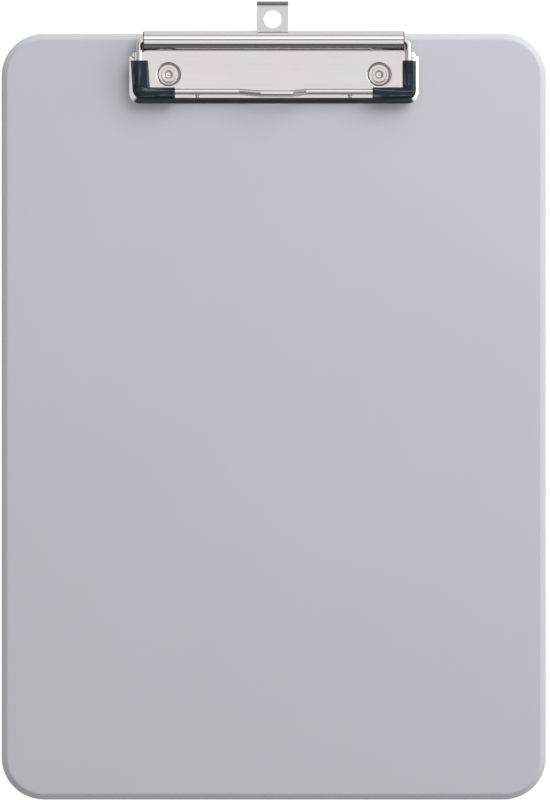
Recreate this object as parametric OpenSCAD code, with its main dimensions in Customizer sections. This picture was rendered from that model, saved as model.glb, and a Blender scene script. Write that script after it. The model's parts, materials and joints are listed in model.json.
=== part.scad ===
// Clipboard: a plastic board, a clip plate rolled into a barrel along its rear edge, a wire
// bail sprung shut by two torsion springs in the barrel, and a hanger that slides under the plate.
// Millimetres. +X is right, +Y is towards the hanger, +Z points out of the writing side.
// The origin is the centre of the board's back face.

/* [Board] */
// Width of the board
board_w = 226; // [210:1:260]
// Length of the board
board_l = 318; // [290:1:340]
// Thickness of the board
board_t = 3; // [2.8:0.1:4]
// Radius of the board's corners in plan
board_corner_r = 17.5; // [8:0.5:30]
// Radius of the rounding along the board's front edge
board_edge_r = 2.4; // [1:0.1:2.4]

/* [Clip plate] */
// Width of the clip plate
plate_w = 120; // [119:1:130]
// Length of the clip plate, from its front edge to the back of the barrel
plate_l = 30; // [29:0.5:34]
// Height of the plate's top face above the board
plate_h = 2.1; // [2.1:0.1:2.6]
// Thickness of the sheet metal
sheet_t = 0.7; // [0.5:0.05:0.7]
// Outer diameter of the rolled barrel
barrel_d = 8.3; // [8.3:0.1:9]
// Length of the rolled barrel
barrel_w = 107.6; // [104:0.2:107.6]
// How far the barrel's back stands out past the board's edge
barrel_overhang = 1; // [0:0.5:3]

/* [Rivets] */
// Distance between the two rivets
rivet_spacing = 87.4; // [80:0.2:90]
// Diameter of the dimples' flat bottoms
dimple_base_d = 8.2; // [6.5:0.1:8.4]
// Diameter of the dimples at the plate's top face
dimple_top_d = 10.4; // [9:0.1:11]
// Diameter of the hollow in the rivets' rolled ends
rivet_bore_d = 3; // [2:0.1:3]

/* [Bail] */
// Diameter of the bail's wire
wire_d = 2.5; // [2:0.1:2.5]
// Distance between the centre lines of the bail's legs
bail_w = 111.6; // [111.6:0.1:112.4]
// Distance from the barrel's axis to the front bar
bail_reach = 21; // [20:0.1:21.4]
// Outer diameter of the corner sleeves
sleeve_d = 5.4; // [5.2:0.1:6]
// Length of the sleeves along the front bar, from the legs' centre lines
sleeve_bar_l = 14.8; // [8:0.2:20]
// Width of the left sleeve where it lies flattened along the leg
sleeve_left_w = 7.2; // [5.4:0.1:7.2]
// Width of the right sleeve along the leg
sleeve_right_w = 5.6; // [5.4:0.1:7.2]

/* [Hanger] */
// Width of the hanger
hanger_w = 13; // [10:0.5:16]
// How far the hanger sits off the middle: less than 0 is to the left
hanger_x = -0.5; // [-1:0.1:1]
// Thickness of the hanger
hanger_t = 0.9; // [0.7:0.1:0.9]
// Diameter of the hanging hole
hanger_hole_d = 7.5; // [5:0.5:8]
// How far the hanger stands out past the barrel
hanger_out = 12.3; // [11.5:0.1:14]

/* [Hidden] */
$fn = 64;
eps = 1;     // how far a cutter runs past what it cuts
lap = 0.05;  // how far two shapes that are one piece run into each other
left = -1;
right = 1;

// The plate and its barrel
plate_top = board_t + plate_h;
barrel_r = barrel_d / 2;
bore_r = barrel_r - sheet_t;
rear_y = board_l / 2 + barrel_overhang;
front_y = rear_y - plate_l;
axis_y = rear_y - barrel_r;
axis_z = plate_top - sheet_t + barrel_r;
skirt_run = 2.3;   // how far the sloping skirt runs out in plan
plate_corner_r = 4.5;
seam_angle = 230;  // where the rolled edge ends, just above the plate
ear_l = 4.5;       // the plate's rear corners end this far ahead of the barrel's axis
ear_x = plate_w / 2 - 1.1;
slit_l = 3;        // a slit parts each rear corner from its skirt
slit_w = 0.4;
slit_angle = 35;
slit_y = 6.3;      // the slit's middle, ahead of the barrel's axis
pip_x = 31.7;
pip_front = 3.2;
pip_h = 0.35;
pip_r = 1.2;

// The rivets, and their recesses in the board's back
rivet_x = rivet_spacing / 2;
rivet_back = 12;   // from the plate's front edge to the rivets
rivet_y = front_y + rivet_back;
rivet_shank_d = 4;
rivet_hole_d = 4.2;
rivet_roll_d = 6.2;
rivet_roll_h = 0.65;
rivet_bore_l = 2.2;
recess_d = 9.4;
recess_h = 1.1;
rivet_head_d = 8.6;
rivet_head_z = 0.25;
rivet_edge_r = 0.3;

// The bail, drawn flat about the barrel's axis and then tilted until its sleeves rest on the plate
leg_x = bail_w / 2;
rest_gap = 0.1;
bail_tilt = asin((axis_z - plate_top - sleeve_d / 2 - rest_gap) / bail_reach);
shoulder_r = 2;
corner_r = 2.8;
journal_x = 30;
lift_in = [4.7, 7];      // the finger lift is level out to here on the left and right ...
lift_out = [14.5, 13.8]; // ... and meets the bar here
lift_h = 2.8;
lift_front = 0.7;
knuckle = 0.08;    // the wire is this much fuller where it is kinked for the finger lift
sleeve_top = 8.1;  // the sleeves end this far from the barrel's axis
sleeve_h = 4.8;    // height of the sleeves along the legs
sleeve_corner_r = 4;
sleeve_out = 0.5;    // the sleeves' centre lines lie this far outside the wire's legs ...
sleeve_front = 0.9;  // ... and this far in front of its bar
sleeve_step = 0.3;  // each arm stops this far short of the other's outer side
sleeve_slack = 0.05;  // room round the wire where it bends

// What the barrel holds, as distances from the middle
bush_l = 5;
bush_out = barrel_w / 2 - 1;
bush_in = bush_out - bush_l;
flange_d = 7.8;
flange_bore_d = 4.2;
flange_t = 0.4;
running_gap = 0.03;
spring_wire_d = 0.9;
spring_mean_d = 4.7;
spring_turns = 14;
spring_pitch = spring_wire_d - 0.01;
spring_out = bush_in - 0.4;
spring_in = spring_out - (spring_turns - 1) * spring_pitch - spring_wire_d;
spring_leg_in_bush = 2;
spring_leg_in_collar = 1.5;
spring_leg_room = 0.2;
spring_web_t = 0.2;  // a thin web joins the turns, which only touch
spring_hole_d = 1.1;
collar_d = 6.2;
collar_l = 3;
collar_out = spring_in - 0.3;

// The hanger slides between the board and the plate
hanger_z = board_t + 0.2;
hanger_end_y = rear_y + hanger_out;
hanger_lip_r = 1.5;
hanger_lip_h = 3.0;
hanger_hole_back = 7.3;
hanger_hole_y = hanger_end_y - hanger_hole_back;
hanger_head_w = 19;
hanger_head_l = 4;
guide_back = 6.6;        // from the barrel's axis to the guides' front faces
guide_y = axis_y - guide_back;
guide_l = 3.6;
guide_t = 1.4;
guide_gap = 0.3;
head_gap = 0.3;

// The skirt's cross-section: a wall that slopes in by run at each side as it rises to a flat top.
// inset draws it in by that thickness all round, and it carries on below the foot by drop.
module skirted(half, run, foot, top, inset, drop) {
    slope = atan((top - foot) / run);
    shoulder = half - run - inset * tan(slope / 2);
    lip = half - inset / sin(slope) + drop / tan(slope);
    polygon([[-lip, foot - drop], [lip, foot - drop], [shoulder, top - inset], [-shoulder, top - inset]]);
}

// A rectangle with its two top corners rounded
module round_top(x0, x1, bottom, top, r) {
    translate([x0, bottom]) square([x1 - x0, top - r - bottom]);
    translate([x0 + r, bottom]) square([x1 - x0 - 2 * r, top - bottom]);
    intersection() {
        translate([x0, bottom]) square([x1 - x0, top - bottom]);
        union() for (x = [x0 + r, x1 - r]) translate([x, top - r]) circle(r = r);
    }
}

// A round bar between two points
module rod(a, b, d) {
    v = b - a;
    length = norm(v);
    translate(a)
        rotate([0, acos(v[2] / length), atan2(v[1], v[0])])
            cylinder(d = d, h = length);
}

// A ring or disc about the X direction, between two distances from the middle
module along_x(x0, x1, d) {
    translate([x0, 0, 0]) rotate([0, 90, 0]) cylinder(d = d, h = x1 - x0);
}

// A cross-section through the board's edge, from the middle out to half its width
module board_section(half) {
    bottom_r = 0.5;
    square([half - board_edge_r, board_t]);
    translate([0, bottom_r]) square([half, board_t - board_edge_r - bottom_r]);
    square([half - bottom_r, bottom_r + lap]);
    translate([half - bottom_r, bottom_r]) circle(r = bottom_r);
    intersection() {
        translate([0, board_t - board_edge_r]) square([half, board_edge_r]);
        translate([half - board_edge_r, board_t - board_edge_r]) circle(r = board_edge_r);
    }
}

module board_blank() {
    straight_x = board_w / 2 - board_corner_r;
    straight_y = board_l / 2 - board_corner_r;
    for (side = [0, 180]) rotate([0, 0, side]) {
        rotate([90, 0, 0]) linear_extrude(2 * straight_y, center = true) board_section(board_w / 2);
        rotate([90, 0, 90]) linear_extrude(2 * straight_x, center = true) board_section(board_l / 2);
    }
    for (side = [left, right]) {
        translate([side * straight_x, straight_y, 0])
            rotate([0, 0, side == right ? 0 : 90])
                rotate_extrude(angle = 90) board_section(board_corner_r);
        translate([side * straight_x, -straight_y, 0])
            rotate([0, 0, side == right ? 270 : 180])
                rotate_extrude(angle = 90) board_section(board_corner_r);
    }
}

// The tray shape of the plate, drawn in by inset from its top and its skirt, and carried on
// below the board's face by drop
module tray(inset, drop) {
    half = plate_w / 2;
    long = 2 * plate_l;
    intersection() {
        translate([0, front_y + long / 2, 0]) rotate([90, 0, 90]) linear_extrude(plate_w, center = true)
            skirted(long / 2, skirt_run, board_t, plate_top, inset, drop);
        translate([0, axis_y, 0]) rotate([90, 0, 0]) linear_extrude(plate_l)
            skirted(half, skirt_run, board_t, plate_top, inset, drop);
        translate([0, front_y, board_t - drop]) linear_extrude(plate_h + drop) {
            translate([-half, plate_corner_r])
                square([plate_w, axis_y - front_y - plate_corner_r]);
            translate([plate_corner_r - half, 0])
                square([plate_w - 2 * plate_corner_r, plate_corner_r + eps]);
            for (side = [left, right])
                translate([side * (half - plate_corner_r), plate_corner_r])
                    circle(r = plate_corner_r - inset);
        }
    }
}

// The sheet's rolled edge: under, up the back, over and down to a seam above the plate
module barrel() {
    far = 2 * barrel_r;
    translate([0, axis_y, axis_z]) rotate([90, 0, 90]) linear_extrude(barrel_w, center = true)
        difference() {
            circle(r = barrel_r);
            circle(r = bore_r);
            polygon([[0, 0], far * [cos(seam_angle), sin(seam_angle)], [-far / 2, -far], [0, -far]]);
        }
}

// The two small raised pips near the plate's front edge
module pips() {
    for (side = [left, right])
        intersection() {
            translate([side * pip_x, front_y + pip_front, plate_top + pip_h - pip_r]) sphere(r = pip_r);
            translate([side * pip_x - pip_r, front_y, plate_top - sheet_t / 2])
                cube([2 * pip_r, 2 * pip_r + pip_front, sheet_t]);
        }
}

// Lugs pressed down from the plate, which guide the hanger and stop its wide inner end
module hanger_guides() {
    for (side = [left, right])
        translate([hanger_x + side * (hanger_w / 2 + guide_gap + guide_t / 2), guide_y, board_t])
            translate([-guide_t / 2, 0, 0])
                cube([guide_t, guide_l, plate_h - sheet_t / 2]);
}

// Cuts that end the plate's rear corners ahead of the barrel, and slit them from the skirt
module rear_corner_cuts() {
    for (side = [0, 1]) mirror([side, 0, 0]) {
        translate([barrel_w / 2, axis_y - ear_l, 0]) cube([plate_w, plate_l, plate_top + eps]);
        translate([ear_x, axis_y - slit_y, 0]) cube([plate_w, plate_l, plate_top + eps]);
        translate([ear_x, axis_y - slit_y, 0]) rotate([0, 0, slit_angle])
            translate([-slit_l / 2, -slit_w / 2, 0]) cube([slit_l, slit_w, plate_top + eps]);
    }
}

// A quarter turn of a round bar: an arc of radius r about a centre, from an angle on
module bend(centre, r, from, d) {
    translate(centre) rotate([0, 0, from]) rotate_extrude(angle = 90) translate([r, 0]) circle(d = d);
}

// The bend at one of the front bar's ends
module wire_corner(side, d) {
    centre = [side * (leg_x - corner_r), corner_r - bail_reach, 0];
    bend(centre, corner_r, side == right ? 270 : 180, d);
}

// The wire, flat about the barrel's axis: journals, legs, front bar and finger lift
module flat_wire() {
    for (side = [left, right]) {
        end = side == left ? 0 : 1;
        outer = [side * lift_out[end], -bail_reach, 0];
        inner = [side * lift_in[end], -bail_reach - lift_front, lift_h];
        rod([side * journal_x, 0, 0], [side * (leg_x - shoulder_r), 0, 0], wire_d);
        bend([side * (leg_x - shoulder_r), -shoulder_r, 0], shoulder_r, side == right ? 0 : 90, wire_d);
        rod([side * leg_x, -shoulder_r, 0], [side * leg_x, corner_r - bail_reach, 0], wire_d);
        wire_corner(side, wire_d);
        rod([side * (leg_x - corner_r), -bail_reach, 0], outer, wire_d);
        translate(outer) sphere(d = wire_d + knuckle);
        rod(outer, inner, wire_d);
        translate(inner) sphere(d = wire_d + knuckle);
    }
    rod([-lift_in[0], -bail_reach - lift_front, lift_h],
        [lift_in[1], -bail_reach - lift_front, lift_h], wire_d);
}

module on_bail() {
    translate([0, axis_y, axis_z]) rotate([bail_tilt, 0, 0]) children();
}

// An L-shaped sleeve round one corner of the wire, w wide along the leg
module corner_sleeve(side, w) {
    mid_x = leg_x + sleeve_out - (w - sleeve_d) / 2;
    outer_x = mid_x + w / 2;
    bar_y = -bail_reach - sleeve_front;
    outer_y = bar_y - sleeve_d / 2;
    on_bail() difference() {
        mirror([side == left ? 1 : 0, 0, 0]) difference() {
            union() {
                translate([0, bar_y, 0]) along_x(leg_x - sleeve_bar_l, outer_x - sleeve_step, sleeve_d);
                translate([mid_x, -sleeve_top, 0]) rotate([90, 0, 0])
                    linear_extrude(-outer_y - sleeve_step - sleeve_top) {
                        square([w - sleeve_h, sleeve_h], center = true);
                        for (x = [sleeve_h - w, w - sleeve_h]) translate([x / 2, 0]) circle(d = sleeve_h);
                    }
            }
            // rounds the outer corner in plan
            translate([outer_x - sleeve_corner_r, outer_y + sleeve_corner_r, -sleeve_d])
                linear_extrude(2 * sleeve_d) difference() {
                    translate([0, -sleeve_corner_r - eps]) square(sleeve_corner_r + eps);
                    circle(r = sleeve_corner_r + sleeve_step / 3);
                }
        }
        rod([side * (leg_x - sleeve_bar_l - eps), -bail_reach, 0],
            [side * (leg_x - corner_r), -bail_reach, 0], wire_d);
        rod([side * leg_x, corner_r - bail_reach, 0], [side * leg_x, eps - sleeve_top, 0], wire_d);
        wire_corner(side, wire_d + 2 * sleeve_slack);
    }
}

// Turns a shape drawn for the right-hand end of the barrel to either end
module in_barrel(side) {
    translate([0, axis_y, axis_z]) mirror([side == left ? 1 : 0, 0, 0]) children();
}

// A plug in the barrel's end, with a thin flange outside that clears the wire's bend
module barrel_bush(side) {
    in_barrel(side) difference() {
        union() {
            along_x(bush_in, barrel_w / 2 + lap, 2 * bore_r);
            along_x(barrel_w / 2, barrel_w / 2 + flange_t, flange_d);
        }
        along_x(bush_in - eps, bush_out, wire_d + 2 * running_gap);
        along_x(bush_out - lap, barrel_w / 2 + eps, flange_bore_d);
        translate([0, spring_mean_d / 2, 0])
            along_x(bush_in - eps, bush_in + spring_leg_in_bush + running_gap, spring_hole_d);
    }
}

// A close-wound coil: its turns lie against each other, and a straight leg leaves each end
module torsion_spring(side) {
    in_barrel(side) {
        translate([spring_in, 0, 0]) rotate([0, 90, 0]) rotate_extrude() {
            for (turn = [0 : spring_turns - 1])
                translate([spring_mean_d / 2, spring_wire_d / 2 + turn * spring_pitch])
                    circle(d = spring_wire_d);
            translate([(spring_mean_d - spring_web_t) / 2, spring_wire_d / 2])
                square([spring_web_t, spring_out - spring_in - spring_wire_d]);
        }
        translate([0, spring_mean_d / 2, 0]) {
            along_x(spring_out - spring_wire_d / 2, bush_in + spring_leg_in_bush, spring_wire_d);
            along_x(collar_out - spring_leg_in_collar, spring_in + spring_wire_d / 2, spring_wire_d);
        }
    }
}

module spring_collar(side) {
    on_bail() mirror([side == left ? 1 : 0, 0, 0]) difference() {
        along_x(collar_out - collar_l, collar_out, collar_d);
        along_x(collar_out - collar_l - eps, collar_out + eps, wire_d);
        rotate([-bail_tilt, 0, 0]) translate([0, spring_mean_d / 2, 0])
            along_x(collar_out - spring_leg_in_collar - spring_leg_room, collar_out + eps, spring_hole_d);
    }
}

// --- Nodes ---

module board() {
    color("#b9bcc3") difference() {
        board_blank();
        for (side = [left, right]) translate([side * rivet_x, rivet_y, -eps]) {
            cylinder(d = rivet_hole_d, h = board_t + 2 * eps);
            cylinder(d = recess_d, h = recess_h + eps);
        }
    }
}

module base_plate() {
    color("#d9d6d4") difference() {
        union() {
            difference() {
                tray(0, 0);
                tray(sheet_t, eps);
                rear_corner_cuts();
            }
            barrel();
            pips();
            hanger_guides();
            for (side = [left, right]) translate([side * rivet_x, rivet_y, board_t])
                cylinder(h = plate_h, d1 = dimple_base_d + sheet_t, d2 = dimple_top_d + sheet_t);
        }
        for (side = [left, right]) translate([side * rivet_x, rivet_y, 0]) {
            translate([0, 0, board_t + sheet_t])
                cylinder(h = plate_h - sheet_t, d1 = dimple_base_d, d2 = dimple_top_d);
            translate([0, 0, plate_top]) cylinder(h = eps, d = dimple_top_d);
            cylinder(h = plate_top, d = rivet_hole_d);
        }
    }
}

module hanger() {
    bend_y = hanger_end_y - hanger_lip_r;
    bend_z = hanger_z + hanger_lip_r;
    head_y = guide_y - head_gap - hanger_head_l;
    color("#c9c8c8") translate([hanger_x, 0, 0]) difference() {
        union() {
            translate([-hanger_w / 2, head_y, hanger_z]) cube([hanger_w, bend_y - head_y, hanger_t]);
            translate([-hanger_head_w / 2, head_y, hanger_z])
                cube([hanger_head_w, hanger_head_l, hanger_t]);
            translate([0, bend_y, bend_z]) rotate([90, 0, 90])
                linear_extrude(hanger_w, center = true) difference() {
                    circle(r = hanger_lip_r);
                    circle(r = hanger_lip_r - hanger_t);
                    translate([-2 * hanger_lip_r, -2 * hanger_lip_r])
                        square([2 * hanger_lip_r, 4 * hanger_lip_r]);
                    translate([-eps, 0]) square([2 * hanger_lip_r + eps, 2 * hanger_lip_r]);
                }
            translate([-hanger_w / 2, hanger_end_y - hanger_t, bend_z])
                cube([hanger_w, hanger_t, hanger_lip_h - hanger_lip_r]);
        }
        translate([0, hanger_hole_y, 0]) cylinder(d = hanger_hole_d, h = plate_top);
    }
}

// A wide flat head in the board's back, and a hollow end rolled over in the plate's dimple
module rivets() {
    roll_z = board_t + sheet_t;
    shank_z = recess_h - rivet_edge_r;
    color("#cfccca") for (side = [left, right]) translate([side * rivet_x, rivet_y, 0]) difference() {
        rotate_extrude() {
            translate([0, shank_z]) square([rivet_shank_d / 2, roll_z + rivet_edge_r - shank_z]);
            round_top(0, rivet_roll_d / 2, roll_z, roll_z + rivet_roll_h, rivet_edge_r);
            mirror([0, 1]) round_top(0, rivet_head_d / 2, -recess_h, -rivet_head_z, rivet_edge_r);
        }
        translate([0, 0, roll_z + rivet_roll_h - rivet_bore_l]) {
            cylinder(d = rivet_bore_d, h = rivet_bore_l + eps);
            sphere(d = rivet_bore_d);
        }
    }
}

module bail_wire() {
    color("#d6d3d0") on_bail() flat_wire();
}

module corner_sleeve_left() {
    color("#1a2d33") corner_sleeve(left, sleeve_left_w);
}

module corner_sleeve_right() {
    color("#1a2d33") corner_sleeve(right, sleeve_right_w);
}

module barrel_bush_left() {
    color("#3a3d40") barrel_bush(left);
}

module barrel_bush_right() {
    color("#3a3d40") barrel_bush(right);
}

module torsion_spring_left() {
    color("#8d8f92") torsion_spring(left);
}

module torsion_spring_right() {
    color("#8d8f92") torsion_spring(right);
}

module spring_collar_left() {
    color("#b5aa85") spring_collar(left);
}

module spring_collar_right() {
    color("#b5aa85") spring_collar(right);
}

board();
base_plate();
hanger();
rivets();
bail_wire();
corner_sleeve_left();
corner_sleeve_right();
barrel_bush_left();
barrel_bush_right();
torsion_spring_left();
torsion_spring_right();
spring_collar_left();
spring_collar_right();
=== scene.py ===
"""The clipboard's looks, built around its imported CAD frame.

Mesh code works in millimetres in the CAD frame: +X right, +Y towards the hanger, +Z out of the
writing side. Each piece is scaled to metres when it is made.
"""
import json
import math

import bmesh
import bpy
from mathutils import Matrix, Vector, geometry, noise


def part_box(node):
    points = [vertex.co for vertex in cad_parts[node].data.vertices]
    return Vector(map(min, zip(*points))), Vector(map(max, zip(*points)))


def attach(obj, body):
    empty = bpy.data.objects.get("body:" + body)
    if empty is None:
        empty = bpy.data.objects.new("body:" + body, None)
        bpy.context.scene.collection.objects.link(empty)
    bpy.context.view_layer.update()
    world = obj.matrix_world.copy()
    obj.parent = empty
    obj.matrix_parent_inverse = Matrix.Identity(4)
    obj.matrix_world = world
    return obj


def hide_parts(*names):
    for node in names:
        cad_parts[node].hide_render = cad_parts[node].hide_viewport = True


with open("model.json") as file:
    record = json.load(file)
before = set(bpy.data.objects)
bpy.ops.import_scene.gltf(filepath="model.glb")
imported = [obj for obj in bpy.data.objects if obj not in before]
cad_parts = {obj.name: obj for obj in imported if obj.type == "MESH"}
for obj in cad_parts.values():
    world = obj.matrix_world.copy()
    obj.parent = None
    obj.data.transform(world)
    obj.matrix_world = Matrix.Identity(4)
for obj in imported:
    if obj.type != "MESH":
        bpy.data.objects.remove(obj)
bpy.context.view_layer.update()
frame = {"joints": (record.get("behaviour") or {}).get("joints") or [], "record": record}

MM = 0.001

# ---------------------------------------------------------------- places, from the frame


def box_mm(node):
    """The low and high corners of a CAD node's box, in millimetres."""
    low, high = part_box(node)
    return low / MM, high / MM


BOARD_HI = box_mm("board")[1]
PLATE_LO, PLATE_HI = box_mm("base_plate")
HANGER_LO, HANGER_HI = box_mm("hanger")
RIVETS_LO, RIVETS_HI = box_mm("rivets")
WIRE_HI = box_mm("bail_wire")[1]
BUSH_LO, BUSH_HI = box_mm("barrel_bush_right")
SPRING_LO, SPRING_HI = box_mm("torsion_spring_right")
COLLAR_LO, COLLAR_HI = box_mm("spring_collar_right")

SWING = next(j for j in frame["joints"] if j["name"] == "bail_swing")
HANGING_HOLE = next(m for m in frame["record"]["mounts"] if m["name"] == "hanging_hole")
AXIS = Vector(SWING["pos_m"]) / MM
BARREL_R = PLATE_HI.z - AXIS.z
FLANGE_R = BUSH_HI.z - AXIS.z
BOARD_T = BOARD_HI.z

SIDE_NAMES = {-1: "left", 1: "right"}

# ---------------------------------------------------------------- sizes the frame doesn't give, in mm

# the board, its bevelled front edge, and the recesses for the rivets' heads in its back
BOARD_CORNER_R = 17.5
BOARD_RIM_W = 6.0
BOARD_BEVEL_W = 2.3
BOARD_BEVEL_Z = 1.8
BOARD_BACK_R = 0.5
RIVET_HOLE_R = 2.1
RECESS_R = 4.7
RECESS_H = 1.1
RECESS_CHAMFER = 0.2

# the clip plate: its rolled barrel, sloping skirts, slit ears, dimples and pips
SHEET_T = 0.7
BORE_R = BARREL_R - SHEET_T
PLATE_TOP = AXIS.z - BORE_R
BARREL_HALF = 53.8
SEAM_DEG = 230
SKIRT_RUN = 2.3
SKIRT_BEND_R = 0.9
PLATE_CORNER_R = 4.5
EAR_Y = AXIS.y - 4.5
EAR_X = PLATE_HI.x - 1.1
EAR_CHAMFER = 0.5
SKIRT_REAR_Y = AXIS.y - 4.0
SLIT_Y = AXIS.y - 6.3
SLIT_L = 3.0
SLIT_W = 0.4
SLIT_DEG = 35
DIMPLE_BASE_R = 4.1
DIMPLE_BASE_BEND_R = 0.45
DIMPLE_TOP_R = 4.9
DIMPLE_TOP_BEND_R = 1.0
PIP_X = 31.7
PIP_Y = PLATE_LO.y + 3.2
PIP_R = 1.1
PIP_H = 0.35

# the lugs that guide the hanger
GUIDE_T = 1.4
GUIDE_L = 3.6
GUIDE_Y = AXIS.y - 6.6
GUIDE_GAP = 0.3
GUIDE_BOTTOM = BOARD_T + 0.05

# the bail, tilted so that its sleeves rest on the plate; left is -1 and right is 1
WIRE_R = 1.25
LEG_X = WIRE_HI.x - WIRE_R
BAIL_REACH = 21.0
SLEEVE_R = 2.7
REST_GAP = 0.1
BAIL_TILT = math.asin((AXIS.z - PLATE_TOP - SLEEVE_R - REST_GAP) / BAIL_REACH)
SHOULDER_R = 2.0
CORNER_R = 2.8
JOURNAL_X = 30.0
LIFT_IN = {-1: 4.7, 1: 7.0}
LIFT_OUT = {-1: 14.5, 1: 13.8}
LIFT_H = 2.8
LIFT_FRONT = 0.7
LIFT_BEND_R = 5.0

# the sleeves on the bail's corners
SLEEVE_TOP = 8.1
SLEEVE_BAR_L = 14.8
SLEEVE_LEG_H = 4.8
SLEEVE_OUT = 0.5
SLEEVE_FRONT = 0.9
SLEEVE_LEG_W = {-1: 7.2, 1: 5.6}
SLEEVE_CORNER_R = {-1: 5.0, 1: 4.2}
SLEEVE_LEAN = {-1: 0.7, 1: 0.0}
SLEEVE_BORE_R = WIRE_R + 0.06
SLEEVE_BORE_L = 1.5
SLEEVE_END = ((0.0, 0.93), (0.06, 0.975), (0.22, 1.0))

# the rivets
RIVET_HEAD_R = 4.3
RIVET_SHANK_R = 2.0
RIVET_ROLL_R = 3.1
RIVET_BORE_R = 1.5
RIVET_BORE_L = 2.6
RIVET_X = RIVETS_HI.x - RIVET_HEAD_R
RIVET_Y = (RIVETS_LO.y + RIVETS_HI.y) / 2

# the hanger
HANGER_W = 13.0
HANGER_X = (HANGER_LO.x + HANGER_HI.x) / 2
HANGER_T = 0.9
HANGER_HEAD_L = 4.0
HANGER_LIP_R = 1.5
HANGER_HOLE_R = 3.75
HANGER_HOLE_Y = HANGING_HOLE["pos_m"][1] / MM

# the parts inside the barrel
BUSH_BORE_R = WIRE_R + 0.03
BUSH_MOUTH_R = 2.1
BUSH_MOUTH_L = 1.4
SPRING_WIRE_R = 0.45
SPRING_MEAN_R = 2.35
SPRING_TURNS = 14
SPRING_LEG_OUT = 2.45
SPRING_LEG_IN = 1.95

# ---------------------------------------------------------------- mesh helpers

CLOSE = 1e-3


def rounded(points, radii, step_deg=9):
    """The line through points with an arc of each inner point's radius in place of its corner."""
    out = [points[0].copy()]
    for i in range(1, len(points) - 1):
        here, r = points[i], radii[i]
        a = (points[i - 1] - here).normalized()
        b = (points[i + 1] - here).normalized()
        turn = math.pi - a.angle(b)
        if r <= 0 or turn < 1e-4:
            out.append(here.copy())
            continue
        room = 0.49 * min((points[i - 1] - here).length, (points[i + 1] - here).length)
        reach = min(r * math.tan(turn / 2), room)
        true_r = reach / math.tan(turn / 2)
        centre = here + (a + b).normalized() * (true_r / math.cos(turn / 2))
        start, end = here + a * reach - centre, here + b * reach - centre
        steps = max(2, math.ceil(math.degrees(turn) / step_deg))
        for k in range(steps + 1):
            t = k / steps
            w0 = math.sin((1 - t) * turn) / math.sin(turn)
            w1 = math.sin(t * turn) / math.sin(turn)
            out.append(centre + start * w0 + end * w1)
    out.append(points[-1].copy())
    return out


def line2(*pairs):
    """Points in a plane from (x, y) pairs."""
    return [Vector((x, y, 0)) for x, y in pairs]


def bridge(bm, a, b, closed=True):
    """Quads between two rows of vertices of the same count."""
    n = len(a)
    for i in range(n if closed else n - 1):
        j = (i + 1) % n
        bm.faces.new((a[i], a[j], b[j], b[i]))


def add_rows(bm, rows):
    """Rows of new vertices, each bridged to the next, closed round."""
    made = [[bm.verts.new(p) for p in row] for row in rows]
    for a, b in zip(made, made[1:]):
        bridge(bm, a, b)
    return made


def straight_edge(bm, y):
    """The vertices of a sheet's straight edge at y, from left to right."""
    return sorted((v for v in bm.verts if abs(v.co.y - y) < CLOSE), key=lambda v: v.co.x)


def roll_on(bm, edge, places):
    """Carries a sheet on from its edge, with one more row of vertices at each (y, z)."""
    row = edge
    for y, z in places:
        new = [bm.verts.new((v.co.x, y, z)) for v in edge]
        bridge(bm, row, new, closed=False)
        row = new


def face_up(bm, height):
    """Turns a sheet so that its widest face at a height looks up."""
    bmesh.ops.recalc_face_normals(bm, faces=bm.faces)
    level = [f for f in bm.faces if abs(f.calc_center_median().z - height) < CLOSE]
    if max(level, key=lambda f: f.calc_area()).normal.z < 0:
        bmesh.ops.reverse_faces(bm, faces=bm.faces)


def sweep(bm, path, radius, sides, flat_ends=False):
    """A round bar along a path, whose ends have a small chamfer unless they are flat."""
    tangents = []
    for i in range(len(path)):
        before = path[max(i - 1, 0)]
        after = path[min(i + 1, len(path) - 1)]
        tangents.append((after - before).normalized())
    side = tangents[0].orthogonal().normalized()
    rows = []
    for i, (p, t) in enumerate(zip(path, tangents)):
        if i:
            side = (side - t * side.dot(t)).normalized()
        other = t.cross(side)
        rows.append([p + (side * math.cos(a) + other * math.sin(a)) * radius for a in circle_angles(sides)])
    chamfer = 0.18
    beyond = 0 if flat_ends else chamfer * radius
    first = [path[0] + (q - path[0]) * (1 - chamfer) - tangents[0] * beyond for q in rows[0]]
    last = [path[-1] + (q - path[-1]) * (1 - chamfer) + tangents[-1] * beyond for q in rows[-1]]
    rows = [first] + rows + [last]
    made = add_rows(bm, rows)
    bm.faces.new(list(reversed(made[0])))
    bm.faces.new(made[-1])


def circle_angles(n):
    """Angles once round, in n equal steps."""
    return [2 * math.pi * k / n for k in range(n)]


def lathe(bm, profile, place, sides=48):
    """A profile of (radius, height) turned about Z, then put in place by a matrix."""
    rows = []
    for r, h in profile:
        rows.append([place @ Vector((r * math.cos(a), r * math.sin(a), h)) for a in circle_angles(sides)])
    add_rows(bm, rows)


def profile_mm(pairs, radii, step_deg=9):
    """A profile through (x, y) pairs with rounded corners."""
    return [(p.x, p.y) for p in rounded(line2(*pairs), radii, step_deg)]


def rounded_rect(half_x, half_y, r, per_corner=20):
    """A rounded rectangle about the origin, counter-clockwise."""
    out = []
    for cx, cy, start in ((1, 1, 0), (-1, 1, 90), (-1, -1, 180), (1, -1, 270)):
        for k in range(per_corner + 1):
            a = math.radians(start + 90 * k / per_corner)
            out.append(Vector((cx * (half_x - r) + r * math.cos(a), cy * (half_y - r) + r * math.sin(a))))
    return out


def circle2(x, y, r, n=64):
    """A circle in plan."""
    return [Vector((x + r * math.cos(a), y + r * math.sin(a))) for a in circle_angles(n)]


def inside(p, loop):
    """Whether a plan point is inside a loop."""
    hit = False
    for a, b in zip(loop, loop[1:] + loop[:1]):
        if (a.y > p.y) != (b.y > p.y) and p.x < a.x + (b.x - a.x) * (p.y - a.y) / (b.y - a.y):
            hit = not hit
    return hit


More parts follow.
